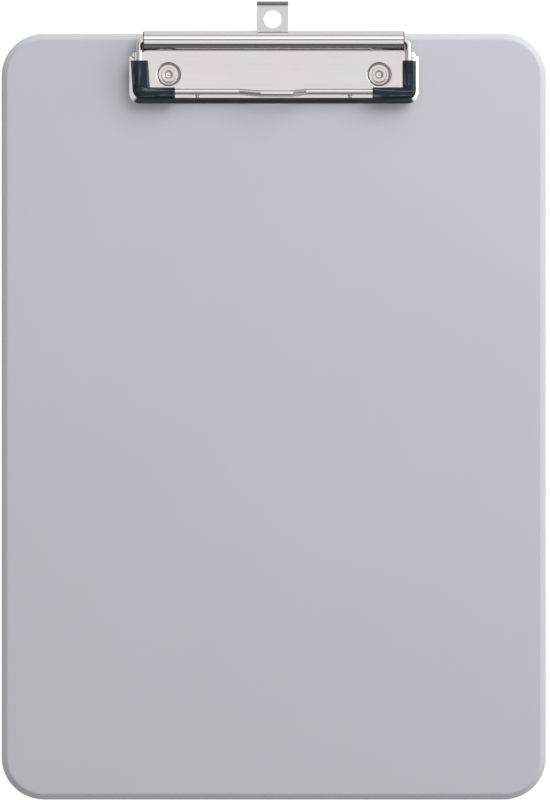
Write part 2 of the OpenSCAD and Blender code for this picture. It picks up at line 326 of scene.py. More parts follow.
def fill_plan(bm, outline, holes, lines, height):
    """Triangles over a plan outline with holes, whose edges follow the given lines too."""
    points, edges = [], []
    for loop, closed in [(outline, True)] + [(h, True) for h in holes] + lines:
        base = len(points)
        points += [Vector((p.x, p.y)) for p in loop]
        count = len(loop)
        edges += [(base + i, base + (i + 1) % count) for i in range(count if closed else count - 1)]
    verts, _, faces, *_ = geometry.delaunay_2d_cdt(points, edges, [], 0, 1e-5)
    made = [bm.verts.new((v.x, v.y, height(v.x, v.y))) for v in verts]
    for face in faces:
        centre = sum((verts[i] for i in face), Vector((0, 0))) / len(face)
        if inside(centre, outline) and not any(inside(centre, h) for h in holes):
            bm.faces.new([made[i] for i in face])
    loose = [v for v in bm.verts if not v.link_faces]
    bmesh.ops.delete(bm, geom=loose, context="VERTS")


def lookup(profile, x):
    """The height at x along a profile of (x, height) points."""
    if x <= profile[0][0]:
        return profile[0][1]
    for (x0, h0), (x1, h1) in zip(profile, profile[1:]):
        if x <= x1:
            return h0 + (h1 - h0) * (x - x0) / max(x1 - x0, 1e-9)
    return profile[-1][1]


def bake(obj):
    """Replaces an object's mesh by what its modifiers make of it."""
    graph = bpy.context.evaluated_depsgraph_get()
    mesh = bpy.data.meshes.new_from_object(obj.evaluated_get(graph))
    obj.modifiers.clear()
    obj.data = mesh


def make_piece(name, bm, material, sharp_deg=38, sheet=0.0, edge=0.0, weld=1e-4):
    """A piece from a mesh in millimetres: welded, thickened downwards, its edges eased, and smooth."""
    bmesh.ops.remove_doubles(bm, verts=bm.verts, dist=weld)
    bmesh.ops.dissolve_degenerate(bm, edges=bm.edges, dist=1e-5)
    if not sheet:
        bmesh.ops.recalc_face_normals(bm, faces=bm.faces)
    bmesh.ops.scale(bm, vec=(MM, MM, MM), verts=bm.verts)
    mesh = bpy.data.meshes.new(name)
    bm.to_mesh(mesh)
    bm.free()
    obj = bpy.data.objects.new(name, mesh)
    bpy.context.scene.collection.objects.link(obj)
    if sheet:
        solid = obj.modifiers.new("Sheet", "SOLIDIFY")
        solid.thickness = sheet * MM
        solid.offset = -1
        solid.use_even_offset = True
    if edge:
        bevel = obj.modifiers.new("Edge", "BEVEL")
        bevel.width = edge * MM
        bevel.segments = 2
        bevel.limit_method = "ANGLE"
        bevel.angle_limit = math.radians(50)
    if sheet or edge:
        bake(obj)
    obj.data.polygons.foreach_set("use_smooth", [True] * len(obj.data.polygons))
    obj.data.set_sharp_from_angle(angle=math.radians(sharp_deg))
    weighted = obj.modifiers.new("Normals", "WEIGHTED_NORMAL")
    weighted.keep_sharp = True
    weighted.weight = 100
    bake(obj)
    obj.data.materials.clear()
    obj.data.materials.append(material)
    return obj


def place_piece(obj, body, slot, *nodes):
    """Puts a piece on a body, in place of CAD nodes. The slot is not used."""
    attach(obj, body)
    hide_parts(*nodes)


# ---------------------------------------------------------------- material helpers


class Nodes:
    """Short calls for building one node tree."""

    def __init__(self, tree):
        self.tree = tree
        self.tree.nodes.clear()

    def add(self, kind, **settings):
        """A new node with the given settings."""
        node = self.tree.nodes.new(kind)
        for key, value in settings.items():
            setattr(node, key, value)
        return node

    def feed(self, socket, value):
        """Links a socket, or sets its own value."""
        if isinstance(value, bpy.types.NodeSocket):
            self.tree.links.new(value, socket)
        else:
            socket.default_value = value

    def math(self, operation, a, b=0.0):
        """One step of arithmetic on two values or sockets."""
        node = self.add("ShaderNodeMath", operation=operation)
        self.feed(node.inputs[0], a)
        self.feed(node.inputs[1], b)
        return node.outputs[0]

    def spread(self, value, low, high, from_low=0.0, from_high=1.0):
        """Maps a value from its own range to low..high, and no further."""
        node = self.add("ShaderNodeMapRange", clamp=True)
        for socket, v in zip(node.inputs, (value, from_low, from_high, low, high)):
            self.feed(socket, v)
        return node.outputs[0]

    def stretch(self, vector, scale):
        """Coordinates scaled along each axis, so that a pattern runs along the least scaled one."""
        node = self.add("ShaderNodeMapping")
        self.feed(node.inputs["Vector"], vector)
        node.inputs["Scale"].default_value = scale
        return node.outputs[0]

    def noise(self, vector, scale, detail=2.0, rough=0.5):
        """Fractal noise between 0 and 1; the scale is in features per metre."""
        node = self.add("ShaderNodeTexNoise")
        self.feed(node.inputs["Vector"], vector)
        node.inputs["Scale"].default_value = scale
        node.inputs["Detail"].default_value = detail
        node.inputs["Roughness"].default_value = rough
        return node.outputs["Fac"]

    def mix(self, factor, a, b):
        """Colour a where the factor is 0, and b where it is 1."""
        node = self.add("ShaderNodeMix", data_type="RGBA")
        self.feed(node.inputs[0], factor)
        self.feed(node.inputs[6], a)
        self.feed(node.inputs[7], b)
        return node.outputs[2]

    def bump(self, height, depth, strength, normal=None):
        """Relief of a depth in metres, on top of another normal if there is one."""
        node = self.add("ShaderNodeBump")
        node.inputs["Strength"].default_value = strength
        node.inputs["Distance"].default_value = depth
        self.feed(node.inputs["Height"], height)
        if normal is not None:
            self.feed(node.inputs["Normal"], normal)
        return node.outputs[0]


def new_material(name, metallic=0.0):
    """A material with one Principled shader, its node builder and its object coordinates."""
    material = bpy.data.materials.new(name)
    material.use_nodes = True
    n = Nodes(material.node_tree)
    out = n.add("ShaderNodeOutputMaterial")
    shader = n.add("ShaderNodeBsdfPrincipled")
    shader.inputs["Metallic"].default_value = metallic
    n.feed(out.inputs["Surface"], shader.outputs[0])
    where = n.add("ShaderNodeTexCoord").outputs["Object"]
    return material, n, shader, where


def shade(colour, factor):
    """A colour made lighter or darker, with its alpha."""
    return tuple(c * factor for c in colour) + (1.0,)


def board_plastic():
    """Satin injection-moulded plastic: faint mottling, a fine spark-eroded grain and a few hairlines."""
    material, n, shader, where = new_material("board_plastic")
    base = (0.426, 0.441, 0.478)
    patches = n.noise(where, 11, 3, 0.6)
    grain = n.noise(where, 2600, 2, 0.6)
    cloud = n.mix(n.spread(patches, 0, 1, 0.3, 0.7), shade(base, 0.985), shade(base, 1.015))
    pits = n.spread(grain, 0, 0.35, 0.35, 0.7)
    n.feed(shader.inputs["Base Color"], n.mix(pits, cloud, shade(base, 0.955)))
    hairs = n.noise(n.stretch(where, (9, 700, 9)), 1.0, 4, 0.7)
    handled = n.spread(n.noise(where, 45, 3), 0.42, 0.50)
    rough = n.math("ADD", handled, n.spread(hairs, 0, 0.04, 0.55, 0.75))
    n.feed(shader.inputs["Roughness"], rough)
    shader.inputs["IOR"].default_value = 1.47
    fine = n.bump(grain, 0.00002, 0.35)
    n.feed(shader.inputs["Normal"], n.bump(n.noise(where, 420, 3), 0.00003, 0.25, fine))
    return material


def nickel(name, colour, rough, streak_scale, wave=0.000012, painted_dark_end=None):
    """Bright nickel plate on rolled steel: tint patches, drawn streaks and the sheet's slight waves."""
    material, n, shader, where = new_material(name, metallic=1.0)
    patches = n.noise(where, 55, 2, 0.5)
    warm = tuple(c * t for c, t in zip(colour, (1.03, 0.985, 0.99)))
    body = n.mix(n.spread(patches, 0, 1, 0.35, 0.65), shade(colour, 1.0), shade(warm, 1.0))
    streaks = n.noise(n.stretch(where, streak_scale), 1.0, 4, 0.65)
    body = n.mix(n.spread(streaks, 0, 0.5, 0.4, 0.75), body, shade(colour, 0.94))
    # a painted dark band at one end, standing in for the dark reflection of a turned-up lip
    if painted_dark_end is not None:
        body = painted_dark_lip(n, where, body, painted_dark_end)
    n.feed(shader.inputs["Base Color"], body)
    smudges = n.noise(where, 130, 4, 0.7)
    level = n.math("ADD", n.spread(streaks, rough * 0.8, rough * 1.3), n.spread(smudges, 0, 0.05, 0.5, 0.8))
    n.feed(shader.inputs["Roughness"], level)
    waves = n.bump(n.noise(where, 90, 1), wave, 0.6)
    n.feed(shader.inputs["Normal"], n.bump(streaks, 0.0000015, 0.5, waves))
    return material


def painted_dark_lip(n, where, colour, end):
    """Painted dark reflection on a turned-up lip, towards an end along Y: a ragged band of dull spotted grey
    laid into the nickel colour.
    """
    starts, complete, ragged_by = (end - 2.3) * MM, (end - 1.2) * MM, 0.1 * MM
    dark, light = (0.22, 0.217, 0.22), (0.29, 0.286, 0.29)
    split = n.add("ShaderNodeSeparateXYZ")
    n.feed(split.inputs[0], where)
    ragged = n.math("ADD", split.outputs[1], n.spread(n.noise(where, 900, 3), -ragged_by, ragged_by))
    painted_dark_mask = n.spread(ragged, 0, 1, starts, complete)
    spots = n.mix(n.noise(where, 2500, 2), shade(dark, 1.0), shade(light, 1.0))
    return n.mix(painted_dark_mask, colour, spots)


def creases(n, where, across, drift_scale):
    """Fine lines that run along an arm of a sleeve, wandering, and stronger here than there; they bump the
    surface and place painted highlights in its colour.
    """
    radians_per_metre, wander = 2700.0, 14.0
    drift = n.math("MULTIPLY", n.noise(n.stretch(where, drift_scale), 1.0, 2), wander)
    waves = n.math("SINE", n.math("ADD", n.math("MULTIPLY", across, radians_per_metre), drift))
    stronger = n.spread(n.noise(where, 170, 2), 0.15, 1, 0.38, 0.6)
    return n.math("MULTIPLY", n.spread(waves, 0, 0.9, 0.35, 1.0), stronger)


def pvc():
    """Soft dip-moulded sleeve: dark teal-black, satin, with a slightly greasy sheen, fine creases, and
    painted highlight streaks along the creases.
    """
    material, n, shader, where = new_material("sleeve_pvc")
    # the lighter bluish colour is a painted highlight, laid along the creases
    base, painted_highlight = (0.0050, 0.0165, 0.022), (0.070, 0.078, 0.100)
    split = n.add("ShaderNodeSeparateXYZ")
    n.feed(split.inputs[0], where)
    corner, blend = (AXIS.y - BAIL_REACH + SLEEVE_R - SLEEVE_FRONT) * MM, 1.5 * MM
    on_leg = n.spread(split.outputs[1], 0, 1, corner, corner + blend)
    leg = creases(n, where, split.outputs[0], (260, 35, 260))
    bar = creases(n, where, split.outputs[1], (35, 260, 260))
    kept = n.math("MULTIPLY", bar, n.math("SUBTRACT", 1.0, on_leg))
    streaks = n.math("ADD", kept, n.math("MULTIPLY", leg, on_leg))
    # the crease lines lighten the colour as painted highlight streaks, and also bump the surface
    n.feed(shader.inputs["Base Color"], n.mix(streaks, shade(base, 1.0), shade(painted_highlight, 1.0)))
    n.feed(shader.inputs["Roughness"], n.spread(n.noise(where, 600, 3), 0.24, 0.38))
    shader.inputs["Specular IOR Level"].default_value = 0.22
    folded = n.bump(streaks, 0.00015, 0.7)
    n.feed(shader.inputs["Normal"], n.bump(n.noise(where, 5200, 2), 0.00001, 0.4, folded))
    return material


def bush_plastic():
    """Black acetal, finely speckled and slightly grained."""
    material, n, shader, where = new_material("bush_plastic")
    specks = n.noise(where, 1800, 2)
    n.feed(shader.inputs["Base Color"], n.mix(specks, (0.035, 0.036, 0.04, 1), (0.06, 0.06, 0.065, 1)))
    n.feed(shader.inputs["Roughness"], n.spread(specks, 0.4, 0.55))
    n.feed(shader.inputs["Normal"], n.bump(n.noise(where, 2400, 2), 0.00001, 0.4))
    return material


def drawn_steel():
    """Oiled spring wire with drawing lines."""
    material, n, shader, where = new_material("spring_steel", metallic=1.0)
    lines = n.noise(n.stretch(where, (900, 3200, 3200)), 1.0, 3, 0.6)
    n.feed(shader.inputs["Base Color"], n.mix(lines, (0.33, 0.33, 0.34, 1), (0.50, 0.50, 0.51, 1)))
    n.feed(shader.inputs["Roughness"], n.spread(lines, 0.22, 0.38))
    n.feed(shader.inputs["Normal"], n.bump(lines, 0.000006, 0.5))
    return material


def brass():
    """Turned brass, slightly tarnished."""
    material, n, shader, where = new_material("collar_brass", metallic=1.0)
    tarnish = n.noise(where, 420, 4, 0.65)
    rings = n.noise(n.stretch(where, (5000, 60, 60)), 1.0, 2)
    dull = n.spread(tarnish, 0, 1, 0.4, 0.75)
    n.feed(shader.inputs["Base Color"], n.mix(dull, (0.72, 0.57, 0.32, 1), (0.46, 0.34, 0.18, 1)))
    rough = n.math("ADD", n.spread(rings, 0.2, 0.34), n.spread(tarnish, 0, 0.12))
    n.feed(shader.inputs["Roughness"], rough)
    n.feed(shader.inputs["Normal"], n.bump(rings, 0.000008, 0.6))
    return material


NICKEL = (0.765, 0.735, 0.73)
PLATE_METAL = nickel("plate_nickel", NICKEL, 0.085, (22, 1500, 1500))
WIRE_METAL = nickel("wire_nickel", NICKEL, 0.17, (160, 1600, 1600), wave=0.00001)
HANGER_NICKEL = (0.70, 0.688, 0.695)
# the hanger's turned-up lip gets a painted dark reflection band
HANGER_METAL = nickel("hanger_nickel", HANGER_NICKEL, 0.11, (1500, 30, 1500), painted_dark_end=HANGER_HI.y)
RIVET_NICKEL = (0.76, 0.73, 0.71)
RIVET_METAL = nickel("rivet_nickel", RIVET_NICKEL, 0.13, (700, 700, 700), wave=0.00002)

# ---------------------------------------------------------------- pieces on the base


def board_profile():
    """How far in from the outline and how high the board's skin is, from its back to its face."""
    pairs = [
        (BOARD_RIM_W, 0), (0, 0), (0, BOARD_BEVEL_Z), (BOARD_BEVEL_W, BOARD_T), (BOARD_RIM_W, BOARD_T),
    ]
    return profile_mm(pairs, [0, BOARD_BACK_R, 1.3, 1.6, 0])


def make_board():
    """A flat board with rounded corners, a bevelled front edge, two rivet holes and their recesses."""
    bm = bmesh.new()
    rows = []
    for inset, z in board_profile():
        loop = rounded_rect(BOARD_HI.x - inset, BOARD_HI.y - inset, BOARD_CORNER_R - inset)
        rows.append([Vector((p.x, p.y, z)) for p in loop])
    add_rows(bm, rows)
    inner_r = BOARD_CORNER_R - BOARD_RIM_W
    face = rounded_rect(BOARD_HI.x - BOARD_RIM_W, BOARD_HI.y - BOARD_RIM_W, inner_r)
    mouth_r = RECESS_R + RECESS_CHAMFER
    through = [circle2(side * RIVET_X, RIVET_Y, RIVET_HOLE_R) for side in (-1, 1)]
    mouths = [circle2(side * RIVET_X, RIVET_Y, mouth_r) for side in (-1, 1)]
    fill_plan(bm, face, through, [], lambda x, y: BOARD_T)
    fill_plan(bm, face, mouths, [], lambda x, y: 0.0)
    steps = [
        (mouth_r, 0), (RECESS_R, RECESS_CHAMFER), (RECESS_R, RECESS_H), (RIVET_HOLE_R, RECESS_H),
        (RIVET_HOLE_R, BOARD_T),
    ]
    for side in (-1, 1):
        loops = [(circle2(side * RIVET_X, RIVET_Y, r), z) for r, z in steps]
        add_rows(bm, [[Vector((p.x, p.y, z)) for p in loop] for loop, z in loops])
    obj = make_piece("board_shell", bm, board_plastic())
    place_piece(obj, "base", "board_plastic", "board")


def skirt_profile():
    """Height above the board's back against the distance in from the plate's foot."""
    flat = 3
    pairs = [(0, BOARD_T), (SKIRT_RUN, PLATE_TOP), (SKIRT_RUN + flat, PLATE_TOP)]
    return profile_mm(pairs, [0, SKIRT_BEND_R, 0])


def dimple_profile():
    """How far the plate is pressed in (less than 0) against the distance from a rivet's axis."""
    floor, flat = BOARD_T + SHEET_T - PLATE_TOP, 2
    pairs = [(0, floor), (DIMPLE_BASE_R, floor), (DIMPLE_TOP_R, 0), (DIMPLE_TOP_R + flat, 0)]
    return profile_mm(pairs, [0, DIMPLE_BASE_BEND_R, DIMPLE_TOP_BEND_R, 0], step_deg=5)


SKIRT = skirt_profile()
DIMPLE = dimple_profile()


def plate_inset(x, y):
    """How far a plan point lies in from the plate's rounded foot."""
    side, ahead = PLATE_HI.x - abs(x), y - PLATE_LO.y
    if side < PLATE_CORNER_R and ahead < PLATE_CORNER_R:
        return PLATE_CORNER_R - math.hypot(PLATE_CORNER_R - side, PLATE_CORNER_R - ahead)
    return min(side, ahead)


def plate_height(x, y):
    """How high the plate's top face is at a plan point: its skirt, its dimples and its pips."""
    z = lookup(SKIRT, plate_inset(x, y))
    z += lookup(DIMPLE, math.hypot(abs(x) - RIVET_X, y - RIVET_Y))
    away = math.hypot(abs(x) - PIP_X, y - PIP_Y)
    if away < PIP_R:
        z += PIP_H * (0.5 + 0.5 * math.cos(math.pi * away / PIP_R))
    return z


def rear_corner(side):
    """The outline of one rear corner, from the barrel's end out to the foot: an ear, a slit, the skirt."""
    along = Vector((math.cos(math.radians(SLIT_DEG)), math.sin(math.radians(SLIT_DEG))))
    across = Vector((-along.y, along.x)) * (SLIT_W / 2)
    corner = Vector((EAR_X, SLIT_Y))
    upper = corner + across - along * (across.x / along.x)
    lower = corner - across + along * (across.y / along.y)
    tip = corner - along * (SLIT_L / 2)
    points = [
        Vector((BARREL_HALF, AXIS.y)), Vector((BARREL_HALF, EAR_Y)),
        Vector((EAR_X - EAR_CHAMFER, EAR_Y)), Vector((EAR_X, EAR_Y - EAR_CHAMFER)), upper, tip + across,
        tip - across, lower, Vector((PLATE_HI.x, SLIT_Y)),
    ]
    return [Vector((side * p.x, p.y)) for p in points]


def foot_line(inset):
    """The plate's foot line drawn in by inset, from its rear left end round to its rear right end."""
    half, r = PLATE_HI.x - inset, PLATE_CORNER_R - inset
    rear, front = SKIRT_REAR_Y, PLATE_LO.y + inset
    corner = Vector((PLATE_HI.x - PLATE_CORNER_R, PLATE_LO.y + PLATE_CORNER_R))
    smallest_r, steps = 0.05, 14
    if r <= smallest_r:
        return [Vector(p) for p in ((-half, rear), (-half, front), (half, front), (half, rear))]
    arc = [math.radians(-90 + 90 * k / steps) for k in range(steps + 1)]
    right = [Vector((corner.x + r * math.cos(a), corner.y + r * math.sin(a))) for a in arc]
    left = [Vector((-p.x, p.y)) for p in reversed(right)]
    return [Vector((-half, rear))] + left + right + [Vector((half, rear))]


def make_base_plate():
    """One sheet: the pressed plate, and the barrel rolled on from its rear edge."""
    bm = bmesh.new()
    rear_parts, dimple_sides, pip_sides, pip_rings, roll_steps = 12, 72, 20, 6, 80
    guard = 0.3  # one more line beside each bend keeps the flat beyond it flat
    step = 2 * BARREL_HALF / rear_parts
    rear = [Vector((BARREL_HALF - step * k, AXIS.y)) for k in range(1, rear_parts)]
    outline = rear_corner(-1) + foot_line(0)[1:-1] + list(reversed(rear_corner(1))) + rear
    holes = [circle2(side * RIVET_X, RIVET_Y, RIVET_HOLE_R) for side in (-1, 1)]
    lines = [(foot_line(inset), False) for inset, _ in SKIRT[1:-1]]
    lines.append((foot_line(SKIRT[-2][0] + guard), False))
    dimple_rings = [r for r, _ in DIMPLE[1:-1]] + [DIMPLE[-2][0] + guard]
    pip_radii = [PIP_R * k / pip_rings for k in range(1, pip_rings + 1)]
    for side in (-1, 1):
        lines += [(circle2(side * RIVET_X, RIVET_Y, r, dimple_sides), True) for r in dimple_rings]
        lines += [(circle2(side * PIP_X, PIP_Y, r, pip_sides), True) for r in pip_radii]
    fill_plan(bm, outline, holes, lines, plate_height)
    turns = [math.radians(-90 + (90 + SEAM_DEG) * k / roll_steps) for k in range(1, roll_steps + 1)]
    places = [(AXIS.y + BORE_R * math.cos(a), AXIS.z + BORE_R * math.sin(a)) for a in turns]
    roll_on(bm, straight_edge(bm, AXIS.y), places)
    face_up(bm, PLATE_TOP)
    obj = make_piece("clip_plate", bm, PLATE_METAL, sheet=SHEET_T, edge=0.1)
    place_piece(obj, "base", "plate_nickel", "base_plate")


def make_hanger_guides():
    """Two lugs pressed down from the plate beside the hanger, rounded below at the rear."""
    bm = bmesh.new()
    low, high = GUIDE_BOTTOM, PLATE_TOP - SHEET_T / 2
    pairs = [(GUIDE_Y, low), (GUIDE_Y, high), (GUIDE_Y + GUIDE_L, high), (GUIDE_Y + GUIDE_L, low)]
    outline = profile_mm(pairs + pairs[:1], [0, 0, 0, 0.25, 0])[:-1]
    for side in (-1, 1):
        middle = HANGER_X + side * (HANGER_W / 2 + GUIDE_GAP + GUIDE_T / 2)
        faces = (middle - GUIDE_T / 2, middle + GUIDE_T / 2)
        left, right = [[bm.verts.new((x, y, z)) for y, z in outline] for x in faces]
        bridge(bm, left, right)
        bm.faces.new(left)
        bm.faces.new(list(reversed(right)))
    obj = make_piece("hanger_guides", bm, PLATE_METAL, edge=0.12)
    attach(obj, "base")


def make_rivets():
    """A wide head in the board's back, a shank, and a hollow end rolled over in the plate's dimple."""
    back, floor, top = RIVETS_LO.z, BOARD_T + SHEET_T, RIVETS_HI.z
    slope_w, slope_h, drill_tip = 0.9, 0.35, 0.4
    pairs = [
        (0, back), (RIVET_HEAD_R - slope_w, back), (RIVET_HEAD_R, back + slope_h), (RIVET_HEAD_R, RECESS_H),
        (RIVET_SHANK_R, RECESS_H), (RIVET_SHANK_R, floor), (RIVET_ROLL_R, floor), (RIVET_ROLL_R, top),
        (RIVET_BORE_R, top), (RIVET_BORE_R, top - RIVET_BORE_L), (0, top - RIVET_BORE_L - drill_tip),
    ]
    radii = [0, 0.3, 0.25, 0.1, 0.05, 0.05, 0.2, 0.5, 0.45, 0.6, 0]
    profile = profile_mm(pairs, radii)
    bm = bmesh.new()
    for side in (-1, 1):
        lathe(bm, profile, Matrix.Translation((side * RIVET_X, RIVET_Y, 0)), 64)
    obj = make_piece("tubular_rivets", bm, RIVET_METAL, sharp_deg=60)
    place_piece(obj, "base", "rivet_nickel", "rivets")


def along_x(side):
    """Turns a lathe's Z towards the side's end of the barrel, on the barrel's axis."""
    return Matrix.Translation((0, AXIS.y, AXIS.z)) @ Matrix.Rotation(math.radians(90 * side), 4, "Y")


def make_bush(side, material):
    """A plug in the barrel's end with a thin flange over its edge, and room for the wire's bend."""
    inner, outer = BUSH_LO.x, BUSH_HI.x
    mouth, lead_in = outer - BUSH_MOUTH_L, 0.35
    pairs = [
        (BUSH_BORE_R, inner), (BORE_R - lead_in, inner), (BORE_R, inner + lead_in), (BORE_R, BARREL_HALF),
        (FLANGE_R, BARREL_HALF), (FLANGE_R, outer), (BUSH_MOUTH_R, outer), (BUSH_MOUTH_R, mouth),
        (BUSH_BORE_R, mouth), (BUSH_BORE_R, inner),
    ]
    bm = bmesh.new()
    lathe(bm, profile_mm(pairs, [0, 0.1, 0.1, 0.05, 0.05, 0.15, 0.15, 0.1, 0.1, 0]), along_x(side), 56)
    name = SIDE_NAMES[side]
    obj = make_piece("bush_" + name, bm, material, sharp_deg=50)
    place_piece(obj, "base", "bush_plastic", "barrel_bush_" + name)


def make_spring(side, material):
    """A close-wound helix with a straight leg into the bush and one into the collar."""
    low, high = SPRING_LO.x + SPRING_LEG_IN, SPRING_HI.x - SPRING_LEG_OUT
    per_turn, bend = 26, 0.25
    count = SPRING_TURNS * per_turn
    path = [Vector((SPRING_LO.x, SPRING_MEAN_R, 0)), Vector((low - bend, SPRING_MEAN_R, 0))]
    for k in range(count + 1):
        a = 2 * math.pi * k / per_turn
        x = low + (high - low) * k / count
        path.append(Vector((x, SPRING_MEAN_R * math.cos(a), SPRING_MEAN_R * math.sin(a))))
    path += [Vector((high + bend, SPRING_MEAN_R, 0)), Vector((SPRING_HI.x, SPRING_MEAN_R, 0))]
    path = [Vector((side * p.x, p.y + AXIS.y, p.z + AXIS.z)) for p in path]
    bm = bmesh.new()
    sweep(bm, path, SPRING_WIRE_R, sides=10, flat_ends=True)
    name = SIDE_NAMES[side]
    obj = make_piece("spring_" + name, bm, material, sharp_deg=60)
    place_piece(obj, "base", "spring_steel", "torsion_spring_" + name)


# ---------------------------------------------------------------- the hanger


def make_hanger():
    """A strap with a wide inner end, a hole and a turned-up lip, cut from one sheet."""
    top = HANGER_LO.z + HANGER_T
    half, head_half = HANGER_W / 2, (HANGER_HI.x - HANGER_LO.x) / 2
    head_y = HANGER_LO.y + HANGER_HEAD_L
    bend_y = HANGER_HI.y - HANGER_LIP_R
    right = [(half, bend_y), (half, head_y), (head_half, head_y), (head_half, HANGER_LO.y)]
    pairs = right + [(-x, y) for x, y in reversed(right)]
    radii = [0, 0.4, 0.8, 0.8, 0.8, 0.8, 0.4, 0]
    outline = [Vector((HANGER_X + p.x, p.y)) for p in rounded(line2(*pairs), radii)]
    hole = circle2(HANGER_X, HANGER_HOLE_Y, HANGER_HOLE_R, 72)
    bm = bmesh.new()
    fill_plan(bm, outline, [hole], [], lambda x, y: top)
    inner_r = HANGER_LIP_R - HANGER_T
    centre_z = HANGER_LO.z + HANGER_LIP_R
    bend_steps, lip_steps = 10, 2
    turns = [math.radians(-90 + 90 * k / bend_steps) for k in range(1, bend_steps + 1)]
    places = [(bend_y + inner_r * math.cos(a), centre_z + inner_r * math.sin(a)) for a in turns]
    lip_h = HANGER_HI.z - centre_z
    places += [(places[-1][0], centre_z + lip_h * k / lip_steps) for k in range(1, lip_steps + 1)]
    roll_on(bm, straight_edge(bm, bend_y), places)
    face_up(bm, top)
    obj = make_piece("hanger_strap", bm, HANGER_METAL, sheet=HANGER_T, edge=0.14)
    place_piece(obj, "hanger", "hanger_nickel", "hanger")


# ---------------------------------------------------------------- pieces on the bail

ON_BAIL = Matrix.Translation(AXIS) @ Matrix.Rotation(BAIL_TILT, 4, "X")


def make_wire():
    """The sprung bail: two journals in the barrel, two legs, and a front bar with the finger lift."""
    points, radii = [], []
    for side in (-1, 1):
        half = [
            ((JOURNAL_X, 0, 0), 0), ((LEG_X, 0, 0), SHOULDER_R), ((LEG_X, -BAIL_REACH, 0), CORNER_R),
            ((LIFT_OUT[side], -BAIL_REACH, 0), LIFT_BEND_R),
            ((LIFT_IN[side], -BAIL_REACH - LIFT_FRONT, LIFT_H), LIFT_BEND_R),
        ]
        if side > 0:
            half.reverse()
        points += [Vector((side * p[0], p[1], p[2])) for p, _ in half]
        radii += [r for _, r in half]
    path = [ON_BAIL @ p for p in rounded(points, radii, 5)]
    bm = bmesh.new()
    sweep(bm, path, WIRE_R, sides=32)
    obj = make_piece("bail_frame", bm, WIRE_METAL, sharp_deg=60)
    place_piece(obj, "bail", "wire_nickel", "bail_wire")


def sleeve_section(count=48, power=2.5):
    """A squashed ring: t runs from 0 on the inner side to 1 on the outer side, v from -0.5 to 0.5."""
    out = []
    for a in circle_angles(count):
        c, s = math.cos(a), math.sin(a)
        t = 0.5 + 0.5 * math.copysign(abs(c) ** (2 / power), c)
        v = 0.5 * math.copysign(abs(s) ** (2 / power), s)
        out.append((t, v, a))
    return out


def corner_reach(phi, leg_w, bar_w, r):
    """How far the sleeve's outer side is from its inner corner, in the direction phi."""
    c, s = math.cos(phi), math.sin(phi)
    flat = min(leg_w / c if c > 1e-6 else 1e9, bar_w / s if s > 1e-6 else 1e9)
    cx, cy = leg_w - r, bar_w - r
    along = cx * c + cy * s
    root = along * along - (cx * cx + cy * cy - r * r)
    if root > 0:
        far = along + math.sqrt(root)
        if far * c > cx and far * s > cy:
            return min(flat, far)
    return flat


